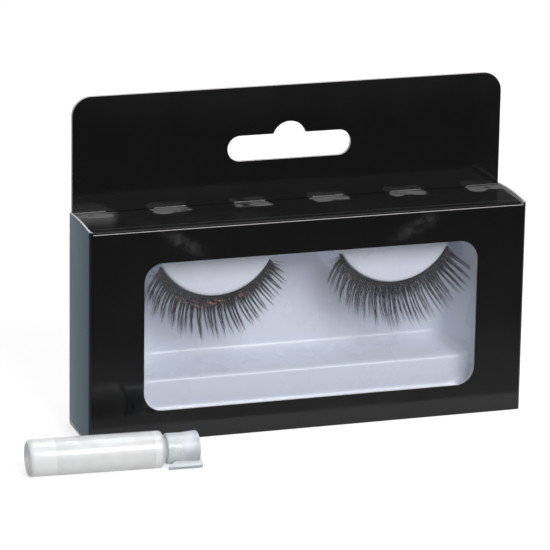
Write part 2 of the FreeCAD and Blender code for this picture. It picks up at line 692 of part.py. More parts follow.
def vial_stopper():
    body = new_body("vial_stopper")
    sketch = new_sketch(body, "section", "XY_Plane")
    add_polygon(sketch, [
        (ROD_END, "0"),
        (CAP_END, "0"),
        (CAP_END, f"{CAP_RADIUS} + dims.cap_flare"),
        (CAP_START, CAP_RADIUS),
        (CAP_START, SKIRT_BORE),
        (CAP_CEILING, SKIRT_BORE),
        (CAP_CEILING, "dims.rod_radius"),
        (ROD_END, "dims.rod_radius"),
    ])
    revolve(body, sketch, "H_Axis")
    tab = new_sketch(body, "tab", "XY_Plane")
    add_rectangle(tab, CAP_START, CAP_END, f"{SKIRT_BORE} + dims.cap_play", TAB_REACH)
    pad(body, tab, "dims.tab_thickness", both_ways=True)
    reach = number(TAB_REACH)
    half = size("tab_thickness") / 2
    drop = size("vial_radius") - size("bead_clearance")
    below = math.degrees(math.asin(drop / math.hypot(reach, half)) - math.atan2(half, reach))
    half_turn = 180
    body.Placement = vial_place(half_turn + below)


front_panel()
back_panel()
header_front_ply()
side_panel("left_side_panel", f"-{SIDE_IN}")
side_panel("right_side_panel", SIDE_IN)
seam_flap()
window_film()
top_lid()
tuck_flap("top_tuck_flap", LID_TOP, LID_UNDER, f"({LID_UNDER} - dims.tuck_length)")
bottom_lid()
tuck_flap("bottom_tuck_flap", "0", "dims.board", "(dims.board + dims.tuck_length)")
lash_tray()
for side, sign in (("left", -1), ("right", 1)):
    lash_band(f"{side}_lash_band", sign)
    lash_hairs(f"{side}_lash_hairs", sign)
vial_tube()
vial_adhesive()
vial_label()
vial_stopper()
doc.recompute()

for thing in doc.Objects:
    if "Invalid" in thing.State or "Error" in thing.State:
        raise RuntimeError(f"{thing.Label} did not compute: {thing.State}")

os.makedirs("parts", exist_ok=True)
for piece in pieces:
    if piece.Shape.isNull() or not piece.Shape.isValid() or not piece.Shape.Solids:
        raise RuntimeError(f"{piece.Label} has no valid solid")
    piece.Shape.exportStep(f"parts/{piece.Label}.step")
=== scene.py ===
# Looks for the false eyelash case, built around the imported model. Metres, in the model's own frame.
import json
import math
import random

import bmesh
import bpy
import numpy as np
from mathutils import Matrix, Vector


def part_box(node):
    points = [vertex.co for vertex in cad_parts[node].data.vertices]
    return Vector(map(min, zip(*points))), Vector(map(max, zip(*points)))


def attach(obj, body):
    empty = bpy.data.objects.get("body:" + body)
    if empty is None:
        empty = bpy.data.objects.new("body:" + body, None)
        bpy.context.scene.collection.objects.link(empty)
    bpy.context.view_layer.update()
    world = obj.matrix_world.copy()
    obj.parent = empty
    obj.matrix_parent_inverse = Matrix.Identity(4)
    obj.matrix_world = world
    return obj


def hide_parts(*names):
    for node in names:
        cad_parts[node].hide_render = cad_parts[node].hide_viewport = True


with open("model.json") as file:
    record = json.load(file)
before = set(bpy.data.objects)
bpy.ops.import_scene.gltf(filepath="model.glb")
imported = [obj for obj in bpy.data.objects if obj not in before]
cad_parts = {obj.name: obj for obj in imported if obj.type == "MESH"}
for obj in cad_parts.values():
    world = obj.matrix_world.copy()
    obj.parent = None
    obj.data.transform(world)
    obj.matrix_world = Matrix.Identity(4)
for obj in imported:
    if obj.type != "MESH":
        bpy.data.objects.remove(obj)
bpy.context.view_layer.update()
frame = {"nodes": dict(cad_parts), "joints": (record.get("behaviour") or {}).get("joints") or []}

MM = 0.001
nodes = frame["nodes"]


# Shader helpers


class Shader:
    """A material whose Principled surface is fed by short node calls."""

    def __init__(self, name, **sockets):
        self.material = bpy.data.materials.new(name)
        self.material.use_nodes = True
        self.tree = self.material.node_tree
        self.surface = self.tree.nodes["Principled BSDF"]
        for socket, value in sockets.items():
            self.surface.inputs[socket.replace("_", " ")].default_value = value

    def node(self, kind, inputs=None, **settings):
        made = self.tree.nodes.new(kind)
        for name, value in settings.items():
            setattr(made, name, value)
        for key, value in (inputs or {}).items():
            self.feed(made.inputs[key], value)
        return made

    def feed(self, socket, value):
        if isinstance(value, bpy.types.NodeSocket):
            self.tree.links.new(value, socket)
        else:
            socket.default_value = value

    def set(self, socket, value):
        self.feed(self.surface.inputs[socket], value)

    def place(self):
        return self.node("ShaderNodeTexCoord").outputs["Object"]

    def axes(self, vector):
        return self.node("ShaderNodeSeparateXYZ", {"Vector": vector}).outputs

    def stretched(self, vector, x, y, z):
        return self.node("ShaderNodeMapping", {"Vector": vector, "Scale": (x, y, z)}).outputs["Vector"]

    def noise(self, vector, size, detail=3.0, roughness=0.55):
        inputs = {"Vector": vector, "Scale": 1 / size, "Detail": detail, "Roughness": roughness}
        return self.node("ShaderNodeTexNoise", inputs).outputs["Fac"]

    def sums(self, operation, first, second=0.0, third=0.0):
        inputs = {0: first, 1: second, 2: third}
        return self.node("ShaderNodeMath", inputs, operation=operation).outputs["Value"]

    def span(self, value, low, high, start=0.0, end=1.0):
        """The value eased from start at low to end at high."""
        inputs = {"Value": value, "From Min": low, "From Max": high, "To Min": start, "To Max": end}
        return self.node("ShaderNodeMapRange", inputs, interpolation_type="SMOOTHSTEP").outputs["Result"]

    def mix(self, factor, first, second):
        made = self.node("ShaderNodeMix", data_type="RGBA")
        self.feed(made.inputs["Factor"], factor)
        colours = [socket for socket in made.inputs if socket.type == "RGBA"]
        self.feed(colours[0], first)
        self.feed(colours[1], second)
        return next(socket for socket in made.outputs if socket.type == "RGBA")

    def bump(self, height, distance, strength=1.0, normal=None):
        made = self.node("ShaderNodeBump", {"Height": height, "Distance": distance, "Strength": strength})
        if normal:
            self.feed(made.inputs["Normal"], normal)
        return made.outputs["Normal"]

    def seen(self):
        """One for the rays that show a background: from the camera, off a gloss or through glass."""
        path = self.node("ShaderNodeLightPath").outputs
        either = self.sums("MAXIMUM", path["Is Camera Ray"], path["Is Glossy Ray"])
        return self.sums("MAXIMUM", either, path["Is Transmission Ray"])


class Sky(Shader):
    """The world's background, fed by the same node calls."""

    def __init__(self, name):
        world = bpy.data.worlds.new(name)
        world.use_nodes = True
        bpy.context.scene.world = world
        self.tree = world.node_tree
        self.surface = self.tree.nodes["Background"]


def grey(level):
    return (level, level, level, 1.0)


# Carton materials

HALF_DEPTH = 9.75 * MM
PRINT_BLACK = (0.0035, 0.0036, 0.0040, 1.0)
SMEAR_BLACK = (0.0055, 0.0056, 0.0060, 1.0)
SMEAR_SIZE = 16 * MM
RIPPLE_SIZE = 22 * MM
RIPPLE_DEPTH = 0.35 * MM
GRAIN_SIZE = 0.5 * MM
GRAIN_DEPTH = 0.004 * MM
# Grey of the painted reflections and highlights laid over the black print.
SHEEN_GREY = (0.19, 0.19, 0.192, 1.0)
SHEEN_ROUGHNESS = 0.4
SIDE_BOW = 0.25 * MM
FLAP_GLOSS = 0.12


def printed_board(name, sheen_patches=None, bow=0.0, gloss=0.5):
    """Gloss black laminate with handling smears and long ripples and, where asked, patches of painted
    reflection or a bow.
    """
    shader = Shader(name, IOR=1.43, Specular_IOR_Level=gloss)
    place = shader.place()
    smear_and_sheen = shader.noise(shader.stretched(place, 1, 1, 0.4), SMEAR_SIZE, 4.0)
    roughness = shader.span(smear_and_sheen, 0.35, 0.75, 0.07, 0.16)
    colour = shader.mix(shader.span(smear_and_sheen, 0.4, 0.8), PRINT_BLACK, SMEAR_BLACK)
    normal = shader.bump(shader.noise(place, RIPPLE_SIZE, 1.0), RIPPLE_DEPTH, 0.5)
    normal = shader.bump(shader.noise(place, GRAIN_SIZE, 2.0), GRAIN_DEPTH, 0.35, normal)
    if bow:
        _, y, _ = shader.axes(place)
        across = shader.sums("POWER", shader.sums("ABSOLUTE", shader.sums("DIVIDE", y, HALF_DEPTH)), 2.0)
        normal = shader.bump(shader.sums("SUBTRACT", 1.0, across), bow, 1.0, normal)
    if sheen_patches:
        mask = sheen_patches(shader, place)
        roughness = shader.sums("MULTIPLY_ADD", mask, SHEEN_ROUGHNESS, roughness)
        # Painted reflection: the mask lightens the black print towards grey and makes it rougher.
        colour = shader.mix(mask, colour, SHEEN_GREY)
    shader.set("Roughness", roughness)
    shader.set("Base Color", colour)
    shader.set("Normal", normal)
    return shader.material


LAND_PITCH = 20.4 * MM
LAND_HALF = 4.0 * MM
LAND_INSET = 0.4 * MM
LAND_FADE = 2.4 * MM
CREASE_Y = 8.6 * MM
SHEEN_DEPTH = 5.4 * MM
SHEEN_FADE = 1.6 * MM
SHEEN_FULL = 2.4 * MM
STREAK_SIZE = 1.6 * MM
UNEVEN_SIZE = 7 * MM
END_SLANT = -0.28
END_FROM = -45.5 * MM
END_FULL = -48.5 * MM
END_FRONT = -6.0 * MM
END_BACK = 7 * MM
SCORE_Y = -6.2 * MM
SCORE_HALF = 0.1 * MM
SCORE_FADE = 0.4 * MM


def land_reflections(shader, place):
    """Painted grey reflections by the uncut lands of the crease, lighter grey over the left end, a painted
    highlight on the score.
    """
    x, y, _ = shader.axes(place)
    offset = shader.sums("WRAP", shader.sums("ADD", x, -LAND_PITCH / 2), LAND_PITCH / 2, -LAND_PITCH / 2)
    along = shader.span(shader.sums("ABSOLUTE", offset), LAND_HALF + LAND_FADE, LAND_HALF - LAND_INSET)
    across = shader.span(y, CREASE_Y - SHEEN_DEPTH - SHEEN_FADE, CREASE_Y - SHEEN_FULL)
    patch = shader.sums("MULTIPLY", along, across)
    streaks = shader.noise(shader.stretched(place, 0.35, 1, 1), STREAK_SIZE, 4.0, 0.7)
    uneven = shader.noise(shader.stretched(place, 1, 0.5, 1), UNEVEN_SIZE, 2.0)
    ragged = shader.sums("ADD", patch, shader.sums("MULTIPLY_ADD", streaks, 1.5, -0.75))
    ragged = shader.sums("ADD", ragged, shader.sums("MULTIPLY_ADD", uneven, 2.0, -1.0))
    streaked = shader.span(streaks, 0.3, 0.7, 0.45, 1.0)
    # Painted reflection: a ragged grey patch in front of each land of the crease.
    land = shader.sums("MULTIPLY", shader.span(ragged, 0.42, 0.78), streaked)
    land = shader.sums("MULTIPLY", land, shader.span(patch, 0.02, 0.3))
    slant = shader.sums("MULTIPLY_ADD", y, END_SLANT, x)
    # The lid's left end is painted a lighter grey.
    end_patch = shader.span(slant, END_FROM, END_FULL)
    end_patch = shader.sums("MULTIPLY", end_patch, shader.span(y, END_FRONT, END_BACK, 0.03, 0.46))
    # Painted highlight: a faint grey line along the score.
    from_score = shader.sums("ABSOLUTE", shader.sums("ADD", y, -SCORE_Y))
    score_highlight = shader.span(from_score, SCORE_FADE, SCORE_HALF)
    score_highlight = shader.sums("MULTIPLY", score_highlight, shader.span(streaks, 0.3, 0.6, 0.05, 0.2))
    return shader.sums("MAXIMUM", shader.sums("MAXIMUM", land, end_patch), score_highlight)


# Each painted reflection on the front: its middle's x and z, and its lean.
FRONT_SHEENS = ((-32.5 * MM, 50 * MM, -0.6), (27.5 * MM, 49.8 * MM, 0.41))
FRONT_CLOUD = 3.2 * MM
FRONT_REACH = 10.5 * MM
FRONT_CORE = 1.5 * MM
FRONT_NARROWING = 12.0


def front_reflections(shader, place):
    """Two slanting grey patches of painted reflection, where the corners of the tuck flap press the front
    from behind.
    """
    x, _, z = shader.axes(place)
    cloud = shader.span(shader.noise(place, FRONT_CLOUD, 5.0, 0.6), 0.36, 0.66, 0.02, 0.17)
    total = 0.0
    for centre_x, centre_z, lean in FRONT_SHEENS:
        dx = shader.sums("ADD", x, -centre_x)
        dz = shader.sums("ADD", z, -centre_z)
        along = shader.sums("MULTIPLY_ADD", dz, lean, dx)
        across = shader.sums("MULTIPLY_ADD", dx, -lean, dz)
        narrow = shader.sums("MULTIPLY", shader.sums("POWER", across, 2.0), FRONT_NARROWING)
        far = shader.sums("SQRT", shader.sums("ADD", shader.sums("POWER", along, 2.0), narrow))
        # Painted reflection: grey that fades out from the middle of each patch.
        smear_and_sheen = shader.sums("MULTIPLY", shader.span(far, FRONT_REACH, FRONT_CORE), cloud)
        total = shader.sums("MAXIMUM", smear_and_sheen, total)
    return total


FIBRE_DEPTH = 0.03 * MM


def bare_board(name, pale, dark, fibre):
    """Unprinted board: pale, with short fibres and a little dust in it."""
    shader = Shader(name, Roughness=0.75)
    strands = shader.noise(shader.stretched(shader.place(), 1, 1, 3), fibre, 5.0, 0.7)
    shader.set("Base Color", shader.mix(shader.span(strands, 0.3, 0.7), dark, pale))
    shader.set("Normal", shader.bump(strands, FIBRE_DEPTH, 0.6))
    return shader.material


carton_print = printed_board("carton_print")
lid_print = printed_board("lid_print", land_reflections)
front_print = printed_board("front_print", front_reflections)
side_print = printed_board("side_print", bow=SIDE_BOW)
flap_print = printed_board("flap_print", gloss=FLAP_GLOSS)
raw_edge = bare_board("raw_edge", (0.74, 0.72, 0.71, 1), (0.50, 0.48, 0.48, 1), 0.5 * MM)
inner_board = bare_board("inner_board", (0.86, 0.86, 0.86, 1), (0.74, 0.74, 0.75, 1), 0.9 * MM)


# Carton

PRINTED, CUT, INSIDE = 0, 1, 2
FACING = 0.35
FOLD_RADIUS = 0.9 * MM
FOLD_RETURN = 1.0 * MM


def dress_board(name, outward, finish):
    """Gives a panel its print outside, bare board inside and pale cut edges."""
    panel = nodes[name]
    panel.data.materials.clear()
    for material in (finish, raw_edge, inner_board):
        panel.data.materials.append(material)
    for face in panel.data.polygons:
        toward = outward(face.center).dot(face.normal)
        if abs(toward) < FACING:
            face.material_index = CUT
        else:
            face.material_index = PRINTED if toward > 0 else INSIDE


def fold_outward(depth_sign):
    """Outward direction of a panel that turns round the upright folds at its two sides."""
    low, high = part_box("front_panel")
    side = high.x - FOLD_RETURN

    def outward(point):
        if abs(point.x) < side:
            return Vector((0, depth_sign, 0))
        face_y = abs(low.y) - abs(point.y)
        if face_y < FOLD_RADIUS:
            return Vector((math.copysign(1, point.x), depth_sign, 0)).normalized()
        return Vector((math.copysign(1, point.x), 0, 0))

    return outward


def always(x, y, z):
    direction = Vector((x, y, z))
    return lambda point: direction


# The lids and their tuck flaps face a slant, so that the print runs round their front edges.
dress_board("front_panel", fold_outward(-1), front_print)
dress_board("back_panel", fold_outward(1), carton_print)
dress_board("header_front_ply", always(0, -1, 0), carton_print)
dress_board("left_side_panel", always(-1, 0, 0), side_print)
dress_board("right_side_panel", always(1, 0, 0), side_print)
dress_board("seam_flap", always(-1, 0, 0), carton_print)
dress_board("top_lid", always(0, -0.6, 0.8), lid_print)
dress_board("top_tuck_flap", always(0, -0.8, 0.6), flap_print)
dress_board("bottom_lid", always(0, -0.6, -0.8), carton_print)
dress_board("bottom_tuck_flap", always(0, -0.8, -0.6), flap_print)


# Clear pane and tray sheet

PANE_HAZE = 18 * MM
TRAY_CLOUD = 24 * MM
TRAY_SHEEN = 9 * MM
TRAY_WAVE = 14 * MM
TRAY_WAVE_DEPTH = 0.08 * MM


def clear_film():
    shader = Shader("clear_film", Roughness=0.06, IOR=1.45)
    haze = shader.noise(shader.place(), PANE_HAZE, 3.0)
    shader.set("Base Color", shader.mix(haze, (0.80, 0.84, 0.90, 1), (0.92, 0.95, 1.0, 1)))
    shader.set("Alpha", shader.span(haze, 0.3, 0.7, 0.012, 0.028))
    return shader.material


def tray_sheet():
    shader = Shader("tray_sheet", IOR=1.5, Specular_IOR_Level=0.5)
    place = shader.place()
    cloud = shader.noise(place, TRAY_CLOUD, 2.0)
    shader.set("Base Color", shader.mix(cloud, (0.64, 0.68, 0.78, 1), (0.69, 0.73, 0.82, 1)))
    shader.set("Roughness", shader.span(shader.noise(place, TRAY_SHEEN, 3.0), 0.3, 0.7, 0.24, 0.34))
    shader.set("Normal", shader.bump(shader.noise(place, TRAY_WAVE, 1.0), TRAY_WAVE_DEPTH, 0.3))
    return shader.material


def one_finish(name, material):
    nodes[name].data.materials.clear()
    nodes[name].data.materials.append(material)


one_finish("window_film", clear_film())


# Mesh helpers


def in_scene(name, data):
    thing = bpy.data.objects.new(name, data)
    bpy.context.scene.collection.objects.link(thing)
    return thing


def new_piece(name, mesh, body, materials, replaces=()):
    piece = in_scene(name, mesh)
    for material in materials:
        mesh.materials.append(material)
    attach(piece, body)
    if replaces:
        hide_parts(*replaces)
    return piece


def mesh_of(name, points, faces):
    mesh = bpy.data.meshes.new(name)
    mesh.from_pydata(points, [], faces)
    return mesh


def mesh_from(name, drawn):
    mesh = bpy.data.meshes.new(name)
    drawn.to_mesh(mesh)
    drawn.free()
    return mesh


def grid_faces(rows, columns):
    return [(r * columns + c, r * columns + c + 1, (r + 1) * columns + c + 1, (r + 1) * columns + c)
            for r in range(rows - 1) for c in range(columns - 1)]


def smooth(mesh):
    for face in mesh.polygons:
        face.use_smooth = True
    return mesh


def thicken(piece, thickness, offset):
    shell = piece.modifiers.new("thickness", "SOLIDIFY")
    shell.thickness = thickness
    shell.offset = offset


# Formed tray, in millimetres: across from its middle, up from the table and deep from its front

GRID = 0.4
SHEET = 0.4
MOUTH_HALF = 43.8
MOUTH_LOW = 3.6
MOUTH_HIGH = 49.95
STEP_DEPTH = 4.45
FLOOR_DEPTH = 16.25
LEDGE_EDGE = 13.5
LEDGE_SLOPE = math.tan(math.radians(8))
FOOT_BEVEL = 1.5
PAD_X = 23.08
PAD_Z = 49.2
PAD_RADIUS = 15.43
DRAFT = math.radians(15)
CORNER_BLEND = 4.0
FLOOR_BLEND = 3.2
LEDGE_BLEND = 0.8
BEVEL_BLEND = 0.3
PAD_RIM_BLEND = 0.9
PAD_FOOT_BLEND = 1.6
MOUTH_BLEND = 0.9
SEARCH_STEPS = 26
SEARCH_MARGIN = 1.0


def soft_max(first, second, blend):
    """The larger of two distances, the corner between them rounded over the blend."""
    near = np.maximum(blend - np.abs(first - second), 0)
    return np.maximum(first, second) + near ** 2 / (4 * blend)


def soft_min(first, second, blend):
    return -soft_max(-first, -second, blend)


def bevel_max(first, second, cut):
    """The larger of two distances, with a flat facet across the corner between them."""
    facet = (first + second + cut) * math.sqrt(0.5)
    return soft_max(soft_max(first, second, BEVEL_BLEND), facet, BEVEL_BLEND)


def tray_air(x, z, depth):
    """Distance into the tray's sheet: below nought is the open side."""
    taper = math.cos(DRAFT)
    slope = depth * math.tan(DRAFT)
    past_step = depth - STEP_DEPTH
    step_slope = past_step * math.tan(DRAFT)
    sides = (np.abs(x) - MOUTH_HALF + slope) * taper
    walls = soft_max(sides, (z - MOUTH_HIGH + slope) * taper, CORNER_BLEND)
    walls = soft_max(walls, (MOUTH_LOW - z + slope) * taper, CORNER_BLEND)
    recess = soft_max(depth - FLOOR_DEPTH, walls, FLOOR_BLEND)
    ledge = soft_min(past_step, LEDGE_EDGE + past_step * LEDGE_SLOPE - z, LEDGE_BLEND)
    recess = bevel_max(recess, ledge, FOOT_BEVEL)
    away = np.hypot(np.abs(x) - PAD_X, z - PAD_Z)
    pad = soft_min(past_step, (PAD_RADIUS + step_slope - away) * taper, PAD_RIM_BLEND)
    recess = soft_max(recess, pad, PAD_FOOT_BLEND)
    return soft_min(depth, recess, MOUTH_BLEND)


def formed_tray():
    """The sheet's front as a grid of depths, found by halving where the open side ends."""
    low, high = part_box("lash_tray")
    columns = round((high.x - low.x) / MM / GRID) + 1
    rows = round((high.z - low.z) / MM / GRID) + 1
    middle_x = (low.x + high.x) / 2
    x, z = np.meshgrid(np.linspace(low.x - middle_x, high.x - middle_x, columns) / MM,
                       np.linspace(low.z, high.z, rows) / MM)
    shallow = np.full_like(x, -SEARCH_MARGIN)
    deep = np.full_like(x, FLOOR_DEPTH + SEARCH_MARGIN)
    for _ in range(SEARCH_STEPS):
        middle = (shallow + deep) / 2
        is_open = tray_air(x, z, middle) < 0
        shallow = np.where(is_open, middle, shallow)
        deep = np.where(is_open, deep, middle)
    points = np.stack([x * MM + middle_x, low.y + shallow * MM, z * MM], axis=-1).reshape(-1, 3)
    mesh = smooth(mesh_of("formed_tray", points.tolist(), grid_faces(rows, columns)))
    piece = new_piece("formed_tray", mesh, "carton", [tray_sheet()], ["lash_tray"])
    thicken(piece, SHEET * MM, -1)


formed_tray()


# Lashes

BAND_SWEEP = math.radians(124)
HAIR_SIDES = 4
HAIR_STREAK = 0.35 * MM
MIDDLE_RISE = 3.6 * MM
ROOT_INSET = 0.12 * MM
ROOT_DEPTHS = (-0.4, 0.45)
HEADING_SHARE = 0.94
BEND_EASE = 1.25
TIP_TAPER = 0.78
TAPER_EASE = 1.6
LONG_RINGS = 9
LONG_BARE = math.radians(2)
LONG_BEND = math.radians(18)
BEND_FADE = 0.36
LONG_CONVERGE = 2.6
CLUMP_PLACES = (0.35, 0.65)
CLUMP_LENGTHS = (0.86, 1.05)
CLUMP_CURLS = (1.4, 2.2)
STRAND_LENGTHS = (0.72, 1.0)
STRAND_WIDTHS = (0.8, 1.15)
SHORT_RINGS = 5
SHORT_BARE = math.radians(1)
SHORT_LENGTHS = (1.8, 4.8)
SHORT_CURLS = (0.1, 0.8)
SHORT_WIDTHS = (0.7, 1.1)


def hair_fibre(name, root_colour, tip_colour):
    """Synthetic black hair with a soft sheen that varies from strand to strand."""
    shader = Shader(name, Specular_IOR_Level=0.25)
    strand = shader.noise(shader.stretched(shader.place(), 1, 1, 0.15), HAIR_STREAK, 2.0)
    shader.set("Base Color", shader.mix(shader.span(strand, 0.35, 0.7), root_colour, tip_colour))
    shader.set("Roughness", shader.span(strand, 0.3, 0.7, 0.34, 0.52))
    return shader.material


lash_black = hair_fibre("lash_black", (0.006, 0.006, 0.007, 1), (0.022, 0.020, 0.021, 1))
band_thread = hair_fibre("band_thread", (0.005, 0.005, 0.006, 1), (0.014, 0.013, 0.013, 1))


def add_tube(points, radii, verts, faces):
    """A tapered tube along the points, closed to a point at its tip."""
    start = len(verts)
    for i, point in enumerate(points[:-1]):
        along = (points[i + 1] - points[max(i - 1, 0)]).normalized()
        side = along.cross(Vector((0, 1, 0))).normalized()
        front = side.cross(along)
        for k in range(HAIR_SIDES):
            turn = 2 * math.pi * k / HAIR_SIDES
            verts.append(point + (side * math.cos(turn) + front * math.sin(turn)) * radii[i])
    rings = len(points) - 1
    for i in range(rings - 1):
        for k in range(HAIR_SIDES):
            after = (k + 1) % HAIR_SIDES
            ring = start + i * HAIR_SIDES
            faces.append((ring + k, ring + after, ring + HAIR_SIDES + after, ring + HAIR_SIDES + k))
    tip = len(verts)
    verts.append(points[-1])
    last = start + (rings - 1) * HAIR_SIDES
    for k in range(HAIR_SIDES):
        faces.append((last + k, last + (k + 1) % HAIR_SIDES, tip))
    faces.append(tuple(start + k for k in reversed(range(HAIR_SIDES))))


class Lash:
    """One strip lash: its arc, and hairs that leave it about square and sweep to the right."""

    def __init__(self, side, sign, seed, inner, outer):
        self.side = side
        self.sign = sign
        self.dice = random.Random(seed)
        self.inner = inner
        self.outer = outer
        low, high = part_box(f"{side}_lash_band")
        self.radius = (high.x - low.x) / 2 / math.sin(BAND_SWEEP / 2)
        self.centre = Vector(((low.x + high.x) / 2, (low.y + high.y) / 2, low.z + self.radius))
        self.verts = []
        self.faces = []

    def on_arc(self, angle, beyond=0.0, forward=0.0):
        """A point on the band's outer side: the angle runs from straight down towards +X."""
        out = Vector((math.sin(angle), 0, -math.cos(angle)))
        return self.centre + out * (self.radius + beyond) - Vector((0, forward, 0))

    def length_at(self, angle):
        """Short at the inner corner, longest in the middle, a little shorter at the outer corner."""
        share = 0.5 + self.sign * angle / BAND_SWEEP
        return self.inner + (self.outer - self.inner) * share + MIDDLE_RISE * math.sin(math.pi * share)

    def strand(self, angle, spread, length, lean, bend, curl, root_radius, rings, converge):
        """One hair: it starts beside its clump's middle and closes on the clump's line towards the tip."""
        place = self.on_arc(angle, -ROOT_INSET, self.dice.uniform(*ROOT_DEPTHS) * MM)
        points = []
        radii = []
        heading = angle * HEADING_SHARE + lean
        for i in range(rings):
            share = i / (rings - 1)
            turn = heading + bend * share ** BEND_EASE
            along = Vector((math.sin(turn), 0, -math.cos(turn)))
            across = Vector((math.cos(turn), 0, math.sin(turn)))
            if i:
                place = place + along * (length / (rings - 1))
            beside = across * (spread * (1 - share) ** converge)
            points.append(place + beside - Vector((0, curl * share ** 2, 0)))
            radii.append(root_radius * (1 - TIP_TAPER * share ** TAPER_EASE))
        add_tube(points, radii, self.verts, self.faces)

    def clumps(self, count, strands, width, thickness):
        """Long clumps along the band, each of several strands that close on one line."""
        dice = self.dice
        reach = BAND_SWEEP / 2 - LONG_BARE
        for i in range(count):
            middle = -reach + 2 * reach * (i + dice.uniform(*CLUMP_PLACES)) / count
            length = self.length_at(middle) * dice.uniform(*CLUMP_LENGTHS)
            lean = math.radians(dice.gauss(0, 2.4))
            bend = LONG_BEND - BEND_FADE * middle + math.radians(dice.gauss(0, 4))
            curl = dice.uniform(*CLUMP_CURLS) * MM
            for k in range(strands):
                spread = width * ((k + dice.random()) / strands - 0.5)
                own_length = length * dice.uniform(*STRAND_LENGTHS)
                own_lean = lean + math.radians(dice.gauss(0, 1.2))
                thick = thickness * dice.uniform(*STRAND_WIDTHS)
                self.strand(middle, spread, own_length, own_lean, bend, curl, thick,
                            LONG_RINGS, LONG_CONVERGE)

    def undergrowth(self, count, thickness):
        """Short fine hairs and loose ends that thicken the lash near its band."""
        dice = self.dice
        reach = BAND_SWEEP / 2 - SHORT_BARE
        for i in range(count):
            middle = -reach + 2 * reach * (i + dice.random()) / count
            length = dice.uniform(*SHORT_LENGTHS) * MM
            lean = math.radians(dice.gauss(0, 12))
            bend = math.radians(dice.gauss(4, 10))
            curl = dice.uniform(*SHORT_CURLS) * MM
            thick = thickness * dice.uniform(*SHORT_WIDTHS)
            self.strand(middle, 0.0, length, lean, bend, curl, thick, SHORT_RINGS, 1.0)

    def build(self):
        mesh = smooth(mesh_of(f"{self.side}_lash_strands", [tuple(v) for v in self.verts], self.faces))
        new_piece(f"{self.side}_lash_strands", mesh, f"{self.side}_lash", [lash_black],
                  [f"{self.side}_lash_hairs"])


left_lash = Lash("left", sign=-1, seed=11, inner=5.4 * MM, outer=9.6 * MM)
left_lash.clumps(count=44, strands=12, width=1.5 * MM, thickness=0.054 * MM)
left_lash.undergrowth(count=520, thickness=0.05 * MM)
left_lash.build()
right_lash = Lash("right", sign=1, seed=23, inner=7.2 * MM, outer=11.0 * MM)
right_lash.clumps(count=56, strands=9, width=1.2 * MM, thickness=0.05 * MM)
right_lash.undergrowth(count=520, thickness=0.05 * MM)
right_lash.build()
one_finish("left_lash_band", band_thread)
one_finish("right_lash_band", band_thread)


# Copper glitter caught in the lashes

FLAKE_SIDES = 6
FLAKE_HALF = 0.02 * MM
FLAKE_RADII = (0.10, 0.24)
FLAKE_FRONTS = (0.55, 0.95)
FLAKE_TONE = 0.3 * MM
BRASS_IN = 3
SEED_STEP = 7

# Each cluster: degrees along the band, millimetres beyond it, how many flakes, and their spread in degrees.
LEFT_CLUSTERS = [(-31, 2.0, 16, 3.0), (-17, 1.8, 18, 2.4), (-4, 1.0, 26, 3.0), (4, 0.5, 10, 2.0),
                 (22, 0.6, 16, 2.2)]
RIGHT_CLUSTERS = [(-42.5, 1.5, 18, 1.5), (6.5, 0.4, 5, 1.2), (-20, 1.0, 5, 3.0)]


def glitter_metal(name, colour):
    shader = Shader(name, Metallic=0.55)
    tone = shader.noise(shader.place(), FLAKE_TONE, 2.0)
    dark = (colour[0] * 0.5, colour[1] * 0.45, colour[2] * 0.4, 1)
    shader.set("Base Color", shader.mix(tone, dark, colour))
    shader.set("Roughness", shader.span(tone, 0.2, 0.8, 0.38, 0.6))
    return shader.material


copper = glitter_metal("copper_glitter", (0.27, 0.12, 0.062, 1))
brass = glitter_metal("brass_glitter", (0.20, 0.14, 0.05, 1))


def flake_rim(radius):
    turns = [2 * math.pi * k / FLAKE_SIDES for k in range(FLAKE_SIDES)]
    return [Vector((math.cos(turn), math.sin(turn), 0)) * radius for turn in turns]


def glitter(lash, clusters):
    """Small six-sided flakes among the hairs, about one in three of them brass."""
    dice = random.Random(len(clusters) * SEED_STEP)
    drawn = bmesh.new()
    thick = Vector((0, 0, FLAKE_HALF))
    for degrees, beyond, count, spread in clusters:
        for _ in range(count):
            angle = math.radians(degrees + dice.gauss(0, spread))
            place = lash.on_arc(angle, (beyond + dice.gauss(0, 0.35)) * MM, dice.uniform(*FLAKE_FRONTS) * MM)
            facing = Vector((dice.gauss(0, 0.35), -1, dice.gauss(0.15, 0.35)))
            flat = facing.to_track_quat("Z", "Y").to_matrix()
            rim = flake_rim(dice.uniform(*FLAKE_RADII) * MM)
            front = [drawn.verts.new(place + flat @ (corner + thick)) for corner in rim]
            back = [drawn.verts.new(place + flat @ (corner - thick)) for corner in rim]
            is_brass = dice.randrange(BRASS_IN) == 0
            made = [drawn.faces.new(front), drawn.faces.new(list(reversed(back)))]
            for k in range(FLAKE_SIDES):
                after = (k + 1) % FLAKE_SIDES
                made.append(drawn.faces.new((front[after], front[k], back[k], back[after])))
            for face in made:
                face.material_index = int(is_brass)
    mesh = mesh_from(f"{lash.side}_glitter", drawn)
    new_piece(f"{lash.side}_glitter", mesh, f"{lash.side}_lash", [copper, brass])


glitter(left_lash, LEFT_CLUSTERS)
glitter(right_lash, RIGHT_CLUSTERS)


# Glue vial

VIAL_STEPS = 72
ARC_STEPS = 6
SHARP = math.radians(40)
SAME_PLACE = 0.01 * MM
ON_AXIS = 0.001 * MM

